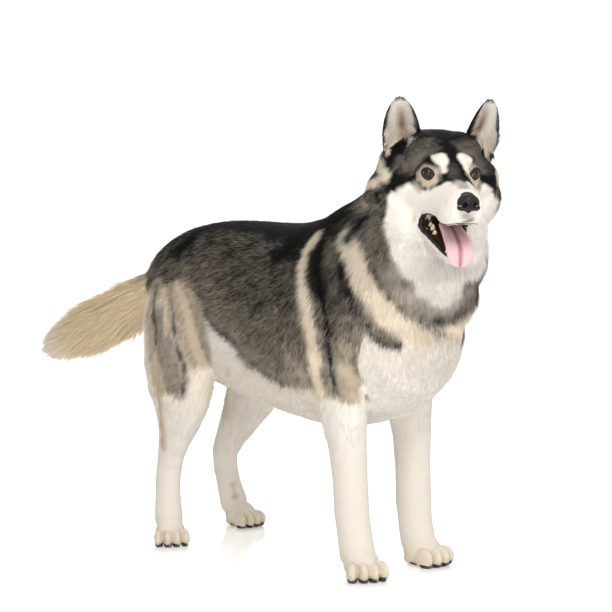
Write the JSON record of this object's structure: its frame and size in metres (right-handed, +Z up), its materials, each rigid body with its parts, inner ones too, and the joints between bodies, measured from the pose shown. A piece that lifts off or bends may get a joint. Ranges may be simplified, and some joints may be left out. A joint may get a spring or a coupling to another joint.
{
  "type": "siberian husky",
  "caption": "Life-size standing siberian husky with open mouth, raised ears, bushy low tail and grey, black and white coat, still as in a museum mount.",
  "frame": {"origin": "centre of the bounding box on the floor between the paws", "axes": "+X towards the dog's head, +Y to its left side, +Z up from the floor"},
  "size_m": [1.2193, 0.3126, 0.776],
  "materials": {
    "coat_torso": "dense grey and black agouti hair with a cream flank stripe and a white belly",
    "coat_neck": "long soft hair, grey-black collar band over cream and a white bib",
    "coat_head": "short soft hair, black cap and white mask, black lips and lids",
    "lower_jaw": "short white hair with black lip edge and ivory teeth",
    "coat_tail": "long cream brush hair, greyer along the top near the root",
    "coat_thighs": "grey agouti hair with cream and tan rear feathering",
    "legs": "short off-white hair",
    "paws": "short off-white hair, black leather pads under the toes",
    "ears": "short black hair outside, cream hair inside",
    "eyes": "wet glossy dark brown iris and black pupil",
    "nose": "pebbled black nose leather with a soft sheen",
    "tongue": "moist pink tongue",
    "claws": "dark smooth horn"
  },
  "bodies": {
    "root": {"claw_front_left_1": "claws", "claw_front_left_2": "claws", "claw_front_left_3": "claws", "claw_front_left_4": "claws", "claw_front_right_1": "claws", "claw_front_right_2": "claws", "claw_front_right_3": "claws", "claw_front_right_4": "claws", "claw_hind_left_1": "claws", "claw_hind_left_2": "claws", "claw_hind_left_3": "claws", "claw_hind_left_4": "claws", "claw_hind_right_1": "claws", "claw_hind_right_2": "claws", "claw_hind_right_3": "claws", "claw_hind_right_4": "claws", "ear_left": "ears", "ear_right": "ears", "eye_left": "eyes", "eye_right": "eyes", "front_leg_left": "legs", "front_leg_right": "legs", "front_paw_left": "paws", "front_paw_right": "paws", "head": "coat_head", "hind_leg_left": "legs", "hind_leg_right": "legs", "hind_paw_left": "paws", "hind_paw_right": "paws", "lower_jaw": "lower_jaw", "neck": "coat_neck", "nose_pad": "nose", "tail": "coat_tail", "thigh_left": "coat_thighs", "thigh_right": "coat_thighs", "tongue": "tongue", "torso": "coat_torso"}
  },
  "joints": []
}
